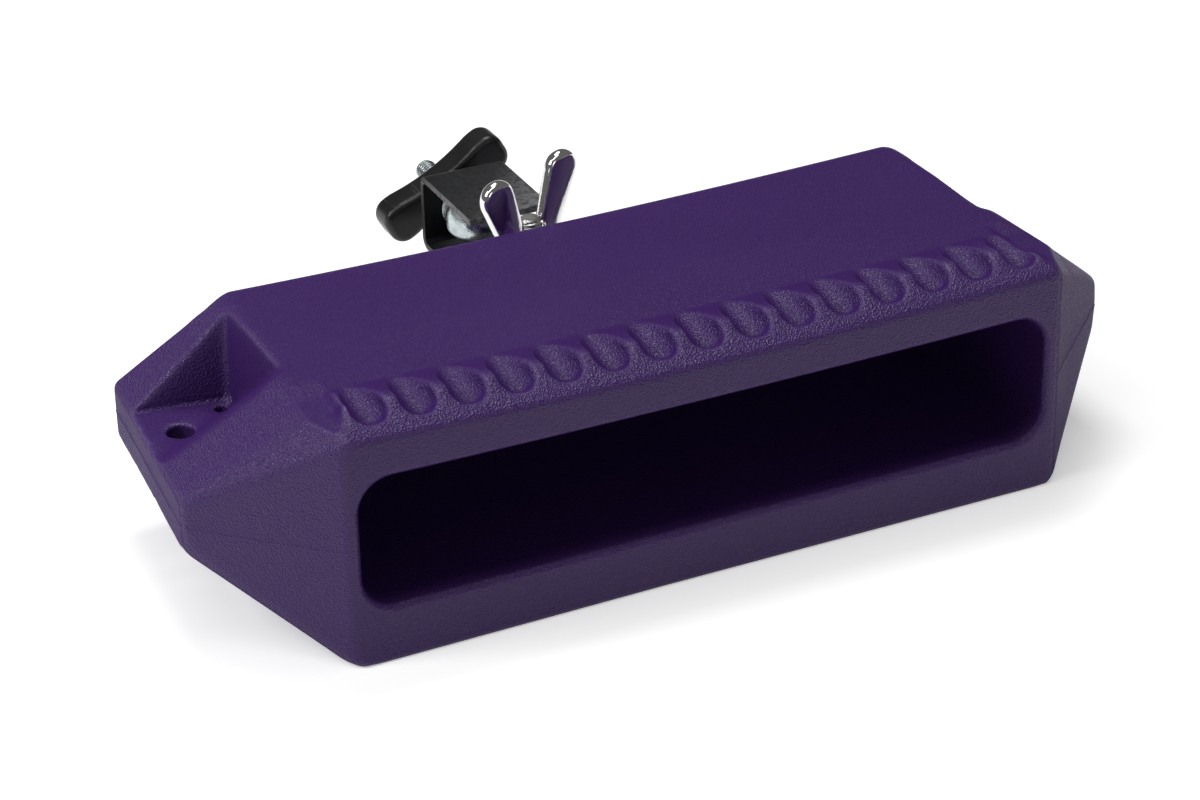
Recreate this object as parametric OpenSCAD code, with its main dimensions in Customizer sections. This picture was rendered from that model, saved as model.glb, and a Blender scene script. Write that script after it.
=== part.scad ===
// Moulded woodblock, a small percussion instrument struck with a stick.
// A long hollow block has a slot along its front and a row of scoops along its top front edge.
// Flanges at both ends and a tab at the back take a bolt and a locating pin.
// A steel bracket on the back tab holds an eye bolt that clamps the block to a stand's rod.
// Frame: X to the right along the block, Y to the back, Z up, zero at the centre of the underside.

/* [Block body] */
// Length of the flat front face and of the flat top
front_length = 260; // [200:1:320]
// Depth of the flat top, front to back
top_depth = 114; // [90:1:140]
// Height of the block
block_height = 83.3; // [65:0.1:100]
// Reach of each end flange beyond the flat top
flange_reach = 41; // [25:1:55]
// Thickness of the end flanges
flange_thick = 19.6; // [12:0.1:28]
// Distance from the front face back to the flange's front corner
flange_front = 40; // [20:1:60]
// How far the back corner of a flange stands inside its front corner
flange_taper = 7.5; // [0:0.5:15]
// How far the middle of the back stands out behind the top edge
back_bulge = 13; // [5:0.5:20]
// How far the top's back corners stand inside its front corners
back_narrow = 2.5; // [0:0.5:6]
// Rounding of the upper edges
edge_round = 4.5; // [2:0.5:8]
// Rounding of the top front edge
front_round = 3; // [1:0.5:8]
// Rounding of the lower edges
base_round = 1.5; // [0.5:0.5:4]
// Radius of the underside's corners, seen from below
base_corner = 4; // [4:0.5:10]
// Rounding of the flange edges
flange_round = 3.5; // [1:0.5:6]
// Depth of the sloping band along the top front edge
bevel_depth = 14; // [8:0.5:24]
// Drop of the sloping band at the front
bevel_drop = 2.3; // [1:0.1:6]
// Rise of the crest behind the sloping band above the flat top
crest_rise = 3.7; // [0:0.1:5]
// Depth of the slope from the crest back to the flat top
crest_fall = 17; // [6:0.5:30]

/* [Scoops] */
// Spacing of the scoops along the front edge
scoop_pitch = 16.9; // [12:0.1:22]
// Radius of one scoop
scoop_round = 6; // [4:0.1:12]
// Shift of the row of scoops to the right
scoop_shift = 1.5; // [0:0.1:6]
// Distance from the front face to the lowest point of a scoop
scoop_front = 10.9; // [8:0.1:20]
// Depth of a scoop below the flat top at its lowest point
scoop_drop = 3.8; // [2:0.1:7]
// Length of the sloping part of a scoop
scoop_run = 34; // [20:1:45]
// Slope of a scoop towards the front, in degrees
scoop_slope = 11.5; // [5:0.5:25]

/* [Slot and cavity] */
// Distance from the end of the front face to the end of the slot
slot_side = 4.5; // [2:0.5:40]
// Height of the slot's lower edge
slot_low = 19; // [10:0.5:30]
// Height of the slot's upper edge
slot_high = 65.5; // [50:0.5:80]
// Radius of the slot's corners
slot_corner = 11.5; // [5:0.5:20]
// Depth of the cavity behind the slot
cavity_depth = 104; // [60:1:110]
// Width of the chamfer round the slot's mouth
slot_lip = 1.6; // [0.5:0.1:4]

/* [End pockets] */
// Distance from the top's back edge to the pocket's back wall, at the top
pocket_back = 11; // [5:0.5:20]
// How much further forward the back wall stands at the pocket floor
pocket_back_draft = 4.6; // [0:0.1:8]
// How far the back wall splays to the rear along the flange
pocket_splay = 5.4; // [0:0.1:10]
// Length over which the back wall splays
pocket_splay_run = 31.4; // [20:0.1:40]
// How much further out the side wall stands at the pocket floor
pocket_side_draft = 2.6; // [0:0.1:6]
// Distance from the pocket's back wall to the foot of its ramp
ramp_start = 4.4; // [0:0.1:12]
// Turn of the ramp's foot from the side wall, in degrees
ramp_turn = 53.13; // [30:1:70]
// Slope of the ramp in degrees
ramp_slope = 41.7; // [20:0.5:60]
// Rounding in the corners of the pocket
pocket_round = 3; // [1:0.5:6]
// Overrun of the pocket cutter beyond the flange and above the top
pocket_over = 20; // [10:1:40]

/* [Flange and tab holes] */
// Diameter of the bolt holes
bolt_hole = 9.5; // [7:0.1:12]
// Diameter of the locating holes
pin_hole = 4.8; // [3:0.1:7]
// Distance of the flange's bolt hole outside the end of the flat top
flange_bolt_out = 24.6; // [15:0.1:32]
// Distance of the flange's bolt hole behind the underside's centre
flange_bolt_y = 28.1; // [0:0.1:60]
// Distance of the flange's locating hole outside the end of the flat top
flange_pin_out = 7; // [5:0.1:12]
// Distance of the flange's locating hole behind the underside's centre
flange_pin_y = 36.8; // [0:0.1:60]

/* [Back tab] */
// Width of the tab
tab_width = 44; // [30:1:60]
// Thickness of the tab
tab_thick = 14; // [8:0.1:20]
// Distance of the bracket bolt behind the top's back edge
tab_bolt_reach = 31; // [20:0.5:45]
// Tab length beyond the bracket bolt
tab_end = 17; // [10:0.5:25]
// Rounding of the tab's corners
tab_round = 8; // [2:0.5:12]
// Distance between the bolt and the locating pin
pin_spacing = 19.6; // [15:0.1:25]
// Width of the recess cut in the back for the bracket
recess_width = 52; // [46:1:80]
// Distance from the top's back edge to the recess wall
recess_reach = 4; // [2:0.5:10]

/* [Bracket] */
// Width of the steel strap
strap_width = 31.5; // [20:0.5:40]
// Thickness of the steel strap
strap_thick = 2.5; // [1.5:0.1:4]
// Clear height inside the bracket
strap_gap = 24.6; // [15:0.1:35]
// Distance from the bracket bolt to the front edge of the upper plate
strap_front = 17.5; // [15:0.5:30]
// Distance from the bracket bolt to the outside of the upright
strap_back = 63; // [40:0.5:80]
// Reach of the lower plate in front of the locating pin
strap_foot_end = 5; // [4:0.5:10]
// Inner radius of the strap's bends
strap_bend = 2; // [1:0.1:5]
// Clearance round the square neck and the pin in the strap
neck_clear = 0.1; // [0.05:0.01:0.3]

/* [Bracket bolt and wing nut] */
// Diameter of the bracket bolt
bolt_diameter = 8; // [6:0.1:10]
// Height of the bolt's end above the tab
bolt_above = 18.3; // [12:0.1:26]
// Diameter of the bolt's domed head
head_diameter = 19; // [14:0.1:24]
// Height of the bolt's domed head
head_height = 4.4; // [2:0.1:7]
// Chamfer on thread ends
thread_chamfer = 0.8; // [0.2:0.1:1.5]
// Diameter of the locating pin
pin_diameter = 4.5; // [3:0.1:6]
// Depth of the pin's end below the tab's upper face
pin_low = 1.4; // [0:0.1:5]
// Outer diameter of the washer under the wing nut
wing_washer_diameter = 20; // [14:0.1:26]
// Thickness of the washer under the wing nut
wing_washer_thick = 1.5; // [0.8:0.1:3]
// Clearance round the bolts in the washers
washer_clear = 0.3; // [0.1:0.05:1]
// Gap between pieces that move against each other
face_clear = 0.3; // [0.1:0.05:0.6]
// Clearance between a thread and its nut, on the radius
thread_clear = 0.1; // [0.02:0.01:0.1]
// Diameter of the wing nut's hub at its foot
hub_diameter = 15; // [12:0.1:20]
// Diameter of the wing nut's hub at its top
hub_top_diameter = 12; // [10:0.1:18]
// Height of the wing nut's hub
hub_height = 13.6; // [8:0.1:20]
// Distance of a wing's middle from the nut's axis
wing_reach = 17; // [12:0.1:22]
// Distance of a wing's root from the nut's axis
wing_root_reach = 10; // [6:0.1:14]
// Radius of a wing's rounded top
wing_round = 7; // [5:0.1:10]
// Radius of a wing's root
wing_root_round = 5.8; // [3:0.1:8]
// Height of a wing's upper centre above the nut's foot
wing_high = 29.6; // [20:0.1:36]
// Height of a wing's root centre above the nut's foot
wing_low = 12; // [8:0.1:18]
// Thickness of a wing
wing_thick = 5; // [2:0.1:7]
// Turn of the wing nut about its axis, in degrees
wing_turn = 24; // [0:1:180]
// Twist of each wing out of the line between the wings, in degrees
wing_twist = -6; // [-45:1:45]

/* [Eye bolt] */
// Outer diameter of the eye
eye_diameter = 24; // [18:0.1:28]
// Diameter of the eye's hole for the rod
eye_hole = 13.2; // [9:0.1:16]
// Thickness of the eye along its hole
eye_thick = 12; // [8:0.1:16]
// Turn of the eye from the rod's direction, in degrees
eye_turn = 100; // [0:1:180]
// Diameter of the eye bolt's shank
shank_diameter = 8; // [6:0.1:10]
// Distance from the upright's outside to the end of the shank
shank_out = 33.5; // [25:0.5:50]
// Clearance round the shank in the upright
shank_clear = 0.3; // [0.1:0.05:1]
// Outer diameter of the washer behind the eye
eye_washer_diameter = 18; // [14:0.1:22]
// Thickness of the washer behind the eye
eye_washer_thick = 1.2; // [0.8:0.1:3]

/* [T-handle] */
// Length of the handle's bar
bar_length = 54.5; // [40:0.5:64]
// Width of the bar at its ends
bar_width = 15.6; // [12:0.1:22]
// Width of the bar's waist
bar_waist = 11.6; // [9:0.1:16]
// Thickness of the bar
bar_thick = 13; // [8:0.1:18]
// Rounding of the bar's corners
bar_round = 6; // [3:0.1:8]
// Turn of the bar from level, in degrees
bar_turn = 29; // [0:1:180]
// Diameter of the handle's hub
handle_hub = 14.6; // [12:0.1:20]
// Length of the handle's hub
handle_hub_length = 9; // [5:0.1:15]
// Outer diameter of the washer under the handle
handle_washer_diameter = 16; // [12:0.1:20]
// Thickness of the washer under the handle
handle_washer_thick = 1.6; // [0.8:0.1:3]
// Diameter of the threaded insert
insert_diameter = 11; // [9.5:0.1:13]
// Length of the threaded insert
insert_length = 14; // [8:0.1:20]

/* [Hidden] */
fine = 64;
coarse = 32;
scoop_side_count = 7;
half_turn = 180;
corner_share = 0.4;
back_share = 0.67;
strip_share = 0.47;
tip_share = 0.92;
dip_share = 1.01;

// Places worked out from the sizes above
half_front = front_length / 2;
half_depth = top_depth / 2;
half_reach = half_front + flange_reach;
slot_length = front_length - 2 * slot_side;
flange_bolt_x = half_front + flange_bolt_out;
flange_pin_x = half_front + flange_pin_out;
mid_height = block_height / 2;
flange_top = mid_height + flange_thick / 2;
flange_low = mid_height - flange_thick / 2;
bolt_y = half_depth + tab_bolt_reach;
pin_y = bolt_y - pin_spacing;
tab_low = flange_top - tab_thick;
recess_y = half_depth + recess_reach;
plate_low = tab_low + strap_gap;
plate_top = plate_low + strap_thick;
foot_low = tab_low - strap_thick;
upright_out = bolt_y + strap_back;
upright_in = upright_out - strap_thick;
eye_z = tab_low + strap_gap / 2;
nut_foot = flange_top + wing_washer_thick + face_clear;
eye_washer_back = upright_in - face_clear;
eye_back = eye_washer_back - eye_washer_thick - face_clear;
eye_y = eye_back - eye_diameter / 2;
handle_washer_front = upright_out;
handle_front = handle_washer_front + handle_washer_thick + face_clear;
bar_front = handle_front + handle_hub_length;
bar_back = bar_front + bar_thick;
bolt_radius = bolt_diameter / 2;
shank_radius = shank_diameter / 2;

// Meeting point of three planes, each given as a unit normal and a distance
function normal_of(p) = [p[0], p[1], p[2]];
function meet(a, b, c) =
    (a[3] * cross(normal_of(b), normal_of(c))
     + b[3] * cross(normal_of(c), normal_of(a))
     + c[3] * cross(normal_of(a), normal_of(b)))
    / (normal_of(a) * cross(normal_of(b), normal_of(c)));

// Plane through three points, pushed out along its normal
function plane_of(p, q, s, push) =
    let (raw = cross(q - p, s - p))
    let (unit = raw / norm(raw))
    [unit[0], unit[1], unit[2], unit * p + push];

// A small ball whose poles and sides lie exactly one radius from its centre
module ball(r) {
    rotate_extrude($fn = coarse)
        intersection() {
            circle(r, $fn = coarse);
            translate([0, -r])
                square([r, 2 * r]);
        }
}

// Balls at both ends of the block, in a mirrored pair
module ball_pair(x, y, z, r) {
    for (side = [-1, 1])
        translate([side * x, y, z])
            ball(r);
}

// Flat discs with a rounded rim at both ends of the block, in a mirrored pair
module disc_pair(x, y, z, r, rim) {
    for (side = [-1, 1])
        translate([side * x, y, z])
            rotate_extrude($fn = coarse)
                translate([r - rim, 0])
                    circle(rim, $fn = coarse);
}

// Flat rectangle with round corners, centred on x
module round_slot(length, height, corner) {
    union() {
        translate([-length / 2 + corner, 0])
            square([length - 2 * corner, height]);
        translate([-length / 2, corner])
            square([length, height - 2 * corner]);
        for (sx = [-1, 1])
            for (sy = [0, 1])
                translate([sx * (length / 2 - corner), corner + sy * (height - 2 * corner)])
                    circle(corner, $fn = fine);
    }
}

// Outer form of the moulding: a flat top and underside, and a thick waist all round the ends
module block_shell() {
    e = edge_round;
    n = front_round;
    b = base_corner;
    f = flange_round;
    crest = block_height + crest_rise;
    back_x = half_front - back_narrow;
    difference() {
        hull() {
            ball_pair(half_front - corner_share * e, bevel_depth - half_depth, crest - e, e);
            ball_pair(half_front - corner_share * n, n - half_depth, block_height - bevel_drop - tip_share * n, n);
            ball_pair(back_x - corner_share * e, half_depth - back_share * e, block_height - dip_share * e, e);
            disc_pair(half_front - corner_share * b, b - half_depth, base_round, b, base_round);
            disc_pair(back_x - corner_share * b, half_depth - back_share * b, base_round, b, base_round);
            for (z = [flange_low + strip_share * f, flange_top - strip_share * f]) {
                ball_pair(half_reach - f, flange_front - half_depth + corner_share * f, z, f);
                ball_pair(half_reach - flange_taper - tip_share * f, half_depth + back_bulge - f, z, f);
            }
        }
        translate([-half_reach, bevel_depth - half_depth, block_height])
            rotate([90, 0, 90])
                linear_extrude(2 * half_reach)
                    polygon([[corner_share * e, crest_rise], [crest_fall, 0], [top_depth, 0],
                             [top_depth, 2 * crest_rise], [corner_share * e, 2 * crest_rise]]);
    }
}

// One scoop: a sloping round groove that ends in a ball towards the front
module scoop() {
    r = scoop_round;
    translate([0, scoop_front - half_depth, block_height - scoop_drop + r])
        rotate([scoop_slope - 90, 0, 0])
            rotate_extrude($fn = fine)
                intersection() {
                    union() {
                        circle(r, $fn = fine);
                        square([r, scoop_run]);
                    }
                    translate([0, -r])
                        square([r, r + scoop_run]);
                }
}

// Slot and cavity, with a small chamfer round the mouth
module slot_cavity() {
    high = slot_high - slot_low;
    translate([0, cavity_depth - half_depth, slot_low])
        rotate([90, 0, 0])
            linear_extrude(cavity_depth + edge_round)
                round_slot(slot_length, high, slot_corner);
    hull() {
        translate([0, slot_lip - half_depth, slot_low])
            rotate([90, 0, 0])
                linear_extrude(slot_lip / 4)
                    round_slot(slot_length, high, slot_corner);
        translate([0, -half_depth, slot_low - slot_lip])
            rotate([90, 0, 0])
                linear_extrude(slot_lip / 4)
                    round_slot(slot_length + 2 * slot_lip, high + 2 * slot_lip, slot_corner + slot_lip);
    }
}

// Pocket over the right flange: a flat floor, two drafted walls and a ramp up to the front
module end_pocket() {
    r = pocket_round;
    rise = block_height - flange_top;
    wall_top = half_depth - pocket_back;
    wall_foot = wall_top - pocket_back_draft;
    foot_x = half_front + pocket_side_draft;
    back = plane_of([half_front, wall_top, block_height], [foot_x, wall_foot, flange_top],
                    [foot_x + pocket_splay_run, wall_foot + pocket_splay, flange_top], r);
    side = plane_of([half_front, 0, block_height], [foot_x, 0, flange_top],
                    [foot_x, half_depth, flange_top], r);
    floor_plane = [0, 0, 1, flange_top + r];
    ramp_point = [foot_x, wall_foot - ramp_start, flange_top];
    ramp_normal = [sin(ramp_turn) * 0 + cos(ramp_turn) * sin(ramp_slope), sin(ramp_turn) * sin(ramp_slope),
                   cos(ramp_slope)];
    ramp = [ramp_normal[0], ramp_normal[1], ramp_normal[2], ramp_normal * ramp_point + r];
    outer = [1, 0, 0, half_reach + pocket_over];
    upper = [0, 0, 1, block_height + pocket_over];
    hull()
        for (p = [meet(floor_plane, back, side), meet(floor_plane, side, ramp), meet(floor_plane, ramp, outer),
                  meet(floor_plane, back, outer), meet(upper, back, side), meet(upper, side, ramp),
                  meet(upper, ramp, outer), meet(upper, back, outer)])
            translate(p)
                ball(r);
}

// Tab at the back of the moulding, with rounded corners
module back_tab() {
    start = half_depth - tab_round;
    long = bolt_y + tab_end - start;
    translate([0, start, tab_low])
        linear_extrude(tab_thick)
            round_slot(tab_width, long, tab_round);
}

module block() {
    tall = block_height;
    color([0.26, 0.157, 0.392])
        difference() {
            union() {
                difference() {
                    block_shell();
                    translate([-recess_width / 2, recess_y, -tall])
                        cube([recess_width, 2 * back_bulge, tall + tab_low]);
                    translate([-recess_width / 2, recess_y, flange_top])
                        cube([recess_width, 2 * back_bulge, tall]);
                }
                back_tab();
            }
            slot_cavity();
            for (k = [-scoop_side_count : scoop_side_count])
                translate([k * scoop_pitch + scoop_shift, 0, 0])
                    scoop();
            for (side = [0, 1])
                mirror([side, 0, 0]) {
                    end_pocket();
                    translate([0, 0, block_height])
                        mirror([0, 0, 1])
                            end_pocket();
                    translate([flange_bolt_x, flange_bolt_y, 0])
                        cylinder(h = tall, d = bolt_hole, $fn = fine);
                    translate([flange_pin_x, flange_pin_y, 0])
                        cylinder(h = tall, d = pin_hole, $fn = fine);
                }
            translate([0, bolt_y, 0])
                cylinder(h = tall, d = bolt_hole, $fn = fine);
            translate([0, pin_y, tab_low - tab_thick])
                cylinder(h = 3 * tab_thick, d = pin_hole, $fn = fine);
        }
}

// Side outline of the bent strap: foot, upright and upper plate
module strap_section() {
    outer = strap_bend + strap_thick;
    foot_front = pin_y - strap_foot_end;
    plate_front = bolt_y + strap_front;
    full = plate_top - foot_low;
    difference() {
        union() {
            translate([foot_front, foot_low])
                square([upright_out - foot_front - outer, full]);
            translate([foot_front, foot_low + outer])
                square([upright_out - foot_front, full - 2 * outer]);
            for (z = [foot_low + outer, plate_top - outer])
                translate([upright_out - outer, z])
                    circle(outer, $fn = fine);
        }
        translate([foot_front - strap_thick, foot_low + strap_thick])
            square([upright_in - foot_front - strap_bend + strap_thick, strap_gap]);
        translate([foot_front - strap_thick, foot_low + outer])
            square([upright_in - foot_front + strap_thick, strap_gap - 2 * strap_bend]);
        for (z = [foot_low + outer, plate_top - outer])
            translate([upright_out - outer, z])
                circle(strap_bend, $fn = fine);
        translate([foot_front - strap_thick, plate_low - strap_bend])
            square([plate_front - foot_front + strap_thick, 2 * outer]);
    }
}

module bracket_strap() {
    neck = bolt_diameter + 2 * neck_clear;
    color([0.08, 0.08, 0.085])
        difference() {
            translate([-strap_width / 2, 0, 0])
                rotate([90, 0, 90])
                    linear_extrude(strap_width)
                        strap_section();
            translate([-neck / 2, bolt_y - neck / 2, foot_low - strap_thick])
                cube([neck, neck, 3 * strap_thick]);
            translate([0, pin_y, foot_low - strap_thick])
                cylinder(h = 3 * strap_thick, r = pin_diameter / 2 + neck_clear, $fn = fine);
            translate([0, upright_out + strap_thick, eye_z])
                rotate([90, 0, 0])
                    cylinder(h = 3 * strap_thick, r = shank_radius + shank_clear, $fn = fine);
        }
}

// Bolt with a domed head under the bracket's foot and a square neck that can't turn in it
module carriage_bolt() {
    top = flange_top + bolt_above;
    dome = (head_diameter * head_diameter / 4 + head_height * head_height) / (2 * head_height);
    color([0.72, 0.73, 0.74])
        translate([0, bolt_y, 0]) {
            intersection() {
                translate([0, 0, foot_low - head_height + dome])
                    sphere(dome, $fn = fine);
                translate([0, 0, foot_low - head_height])
                    cylinder(h = head_height, d = head_diameter, $fn = fine);
            }
            translate([-bolt_radius, -bolt_radius, foot_low])
                cube([bolt_diameter, bolt_diameter, strap_thick]);
            translate([0, 0, foot_low])
                cylinder(h = top - foot_low - thread_chamfer, r = bolt_radius, $fn = fine);
            translate([0, 0, top - thread_chamfer])
                cylinder(h = thread_chamfer, r1 = bolt_radius, r2 = bolt_radius - thread_chamfer, $fn = fine);
        }
}

// Pin fixed in the bracket's foot, which keeps the bracket straight on the tab
module locating_pin() {
    long = tab_thick + strap_thick - pin_low;
    color([0.6, 0.61, 0.62])
        translate([0, pin_y, foot_low]) {
            cylinder(h = long - thread_chamfer, d = pin_diameter, $fn = fine);
            translate([0, 0, long - thread_chamfer])
                cylinder(h = thread_chamfer, d1 = pin_diameter, d2 = pin_diameter - thread_chamfer, $fn = fine);
        }
}

// Flat ring, standing on its lower face
module ring(outer, hole, thick) {
    difference() {
        cylinder(h = thick, d = outer, $fn = fine);
        translate([0, 0, -thick])
            cylinder(h = 3 * thick, d = hole, $fn = fine);
    }
}

module wing_washer() {
    color([0.7, 0.71, 0.72])
        translate([0, bolt_y, flange_top])
            ring(wing_washer_diameter, bolt_diameter + 2 * washer_clear, wing_washer_thick);
}

// One thumb wing with a rounded top, turned out of the line between the wings
module wing() {
    hull() {
        translate([wing_reach, 0, wing_high])
            rotate([0, 0, wing_twist])
                rotate([90, 0, 0])
                    cylinder(h = wing_thick, r = wing_round, center = true, $fn = coarse);
        translate([wing_root_reach, 0, wing_low])
            rotate([90, 0, 0])
                cylinder(h = wing_thick, r = wing_root_round, center = true, $fn = coarse);
    }
}

module wing_nut() {
    color([0.86, 0.86, 0.87])
        translate([0, bolt_y, nut_foot])
            rotate([0, 0, wing_turn])
                difference() {
                    union() {
                        cylinder(h = hub_height, d1 = hub_diameter, d2 = hub_top_diameter, $fn = fine);
                        for (half = [0, half_turn])
                            rotate([0, 0, half])
                                wing();
                    }
                    translate([0, 0, -hub_height])
                        cylinder(h = 3 * hub_height, r = bolt_radius + thread_clear, $fn = fine);
                }
}

module eye_washer() {
    color([0.7, 0.71, 0.72])
        translate([0, eye_washer_back, eye_z])
            rotate([90, 0, 0])
                ring(eye_washer_diameter, shank_diameter + 2 * thread_clear, eye_washer_thick);
}

// Bolt whose head is a thick round eye for the stand's rod
module eye_bolt() {
    far = upright_out + shank_out;
    color([0.75, 0.77, 0.78])
        translate([0, 0, eye_z])
            rotate([0, eye_turn, 0]) {
                difference() {
                    union() {
                        translate([0, eye_y, 0])
                            intersection() {
                                sphere(d = eye_diameter, $fn = fine);
                                rotate([0, 90, 0])
                                    cylinder(h = eye_thick, d = eye_diameter, center = true, $fn = fine);
                            }
                        translate([0, far - thread_chamfer, 0])
                            rotate([90, 0, 0])
                                cylinder(h = far - thread_chamfer - eye_y, r = shank_radius, $fn = fine);
                    }
                    translate([0, eye_y, 0])
                        rotate([0, 90, 0])
                            cylinder(h = 2 * eye_diameter, d = eye_hole, center = true, $fn = fine);
                }
                translate([0, far, 0])
                    rotate([90, 0, 0])
                        cylinder(h = thread_chamfer, r1 = shank_radius - thread_chamfer, r2 = shank_radius,
                                 $fn = fine);
            }
}

// Outline of the handle's bar: full rounded ends and a hollowed waist
module bar_outline() {
    cut = (bar_width - bar_waist) / 2;
    chord = bar_length / 3;
    hollow = (chord * chord + cut * cut) / (2 * cut);
    difference() {
        translate([0, -bar_width / 2])
            round_slot(bar_length, bar_width, bar_round);
        for (side = [-1, 1])
            translate([0, side * (bar_waist / 2 + hollow)])
                circle(hollow, $fn = 3 * fine);
    }
}

module t_handle() {
    bore = insert_diameter;
    color([0.07, 0.07, 0.075])
        translate([0, 0, eye_z])
            rotate([0, -bar_turn, 0])
                difference() {
                    union() {
                        translate([0, bar_back, 0])
                            rotate([90, 0, 0])
                                linear_extrude(bar_thick)
                                    bar_outline();
                        translate([0, bar_front, 0])
                            rotate([90, 0, 0])
                                cylinder(h = handle_hub_length, d = handle_hub, $fn = fine);
                    }
                    translate([0, handle_front + insert_length, 0])
                        rotate([90, 0, 0])
                            cylinder(h = 2 * insert_length, d = bore, $fn = fine);
                    translate([0, bar_back + bar_thick, 0])
                        rotate([90, 0, 0])
                            cylinder(h = 2 * bar_back, r = shank_radius + shank_clear, $fn = fine);
                }
}

module handle_insert() {
    color([0.7, 0.71, 0.72])
        translate([0, handle_front + insert_length, eye_z])
            rotate([90, 0, 0])
                ring(insert_diameter, shank_diameter + 2 * thread_clear, insert_length);
}

module handle_washer() {
    color([0.7, 0.71, 0.72])
        translate([0, handle_washer_front + handle_washer_thick, eye_z])
            rotate([90, 0, 0])
                ring(handle_washer_diameter, shank_diameter + 2 * shank_clear, handle_washer_thick);
}

block();
bracket_strap();
carriage_bolt();
locating_pin();
wing_washer();
wing_nut();
eye_washer();
eye_bolt();
t_handle();
handle_insert();
handle_washer();
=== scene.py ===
import bpy
import bmesh
import math
import numpy as np
from mathutils import Matrix, Vector


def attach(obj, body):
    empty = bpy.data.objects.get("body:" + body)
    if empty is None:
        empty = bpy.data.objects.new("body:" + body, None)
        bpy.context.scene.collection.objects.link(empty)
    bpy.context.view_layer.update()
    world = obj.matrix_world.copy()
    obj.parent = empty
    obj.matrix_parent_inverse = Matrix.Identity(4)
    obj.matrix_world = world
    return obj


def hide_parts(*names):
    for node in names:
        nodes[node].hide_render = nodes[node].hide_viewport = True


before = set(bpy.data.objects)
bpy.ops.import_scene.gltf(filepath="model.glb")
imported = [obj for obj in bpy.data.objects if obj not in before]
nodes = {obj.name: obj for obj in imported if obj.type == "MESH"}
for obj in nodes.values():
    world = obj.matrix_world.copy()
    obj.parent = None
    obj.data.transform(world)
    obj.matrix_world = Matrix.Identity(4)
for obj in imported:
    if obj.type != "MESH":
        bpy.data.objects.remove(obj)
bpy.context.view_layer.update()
mm = 0.001

# camera at the photograph's place
cameraSettings = {
    "place": (-0.473946, -0.977487, 0.619742),
    "turn": (61.8218, 1.0766, -25.7154),  # degrees, as Blender's XYZ rotation
    "lens": 108.654,
    "sensor": 36.0,
    "clip": (0.05, 50.0),  # m, nearest and farthest
}


def makeCamera(settings):
    data = bpy.data.cameras.new("photoCamera")
    data.lens = settings["lens"]
    data.sensor_width = settings["sensor"]
    data.clip_start, data.clip_end = settings["clip"]
    camera = bpy.data.objects.new("photoCamera", data)
    camera.location = settings["place"]
    camera.rotation_euler = [math.radians(a) for a in settings["turn"]]
    bpy.context.scene.collection.objects.link(camera)
    bpy.context.scene.camera = camera


makeCamera(cameraSettings)
bpy.context.scene.view_settings.view_transform = "Standard"
print("camera set")


# small tools for node trees
def newGroup(name, inputs, outputs):
    group = bpy.data.node_groups.new(name, "ShaderNodeTree")
    for label, value in inputs.items():
        socket = group.interface.new_socket(name=label, in_out="INPUT", socket_type="NodeSocketFloat")
        socket.default_value = value
    for label in outputs:
        group.interface.new_socket(name=label, in_out="OUTPUT", socket_type="NodeSocketFloat")
    return group, group.nodes.new("NodeGroupInput"), group.nodes.new("NodeGroupOutput")


def feed(tree, socket, value):
    # sets a number or colour, links anything else
    if isinstance(value, (int, float, tuple)):
        socket.default_value = value
    else:
        tree.links.new(value, socket)


def mathNode(tree, operation, first, second=None, clamp=False):
    node = tree.nodes.new("ShaderNodeMath")
    node.operation = operation
    node.use_clamp = clamp
    feed(tree, node.inputs[0], first)
    if second is not None:
        feed(tree, node.inputs[1], second)
    return node.outputs[0]


def times(tree, first, second):
    return mathNode(tree, "MULTIPLY", first, second)


def noiseNode(tree, place, scale, detail, rough, warp=0.0):
    node = tree.nodes.new("ShaderNodeTexNoise")
    feed(tree, node.inputs["Vector"], place)
    feed(tree, node.inputs["Scale"], scale)
    node.inputs["Detail"].default_value = detail
    node.inputs["Roughness"].default_value = rough
    node.inputs["Distortion"].default_value = warp
    return node.outputs["Fac"]


def spread(tree, value, low, high, outLow=0.0, outHigh=1.0):
    # eases from outLow to outHigh while the value goes from low to high
    node = tree.nodes.new("ShaderNodeMapRange")
    node.interpolation_type = "SMOOTHSTEP"
    feed(tree, node.inputs["Value"], value)
    for label, number in (("From Min", low), ("From Max", high), ("To Min", outLow), ("To Max", outHigh)):
        node.inputs[label].default_value = number
    return node.outputs["Result"]


# fine grain that a mould or a paint film leaves: small round pits and lumps
grainSettings = {
    "inputs": {"Grain Scale": 2200.0, "Lump Scale": 500.0, "Lumpiness": 0.3},
    "roundness": 0.6,
    "lumpNoise": (3.0, 0.6),  # detail, roughness
    "speckle": (0.15, 0.75),
}


def makeGrain(s):
    group, gin, gout = newGroup("surfaceGrain", s["inputs"], ["Height", "Speckle"])
    place = group.nodes.new("ShaderNodeTexCoord").outputs["Object"]
    pits = group.nodes.new("ShaderNodeTexVoronoi")
    pits.feature = "SMOOTH_F1"
    pits.inputs["Smoothness"].default_value = s["roundness"]
    group.links.new(place, pits.inputs["Vector"])
    group.links.new(gin.outputs["Grain Scale"], pits.inputs["Scale"])
    lumps = noiseNode(group, place, gin.outputs["Lump Scale"], *s["lumpNoise"])
    mixed = mathNode(group, "ADD", pits.outputs["Distance"], times(group, lumps, gin.outputs["Lumpiness"]))
    group.links.new(mixed, gout.inputs["Height"])
    group.links.new(spread(group, pits.outputs["Distance"], *s["speckle"]), gout.inputs["Speckle"])
    return group


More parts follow.
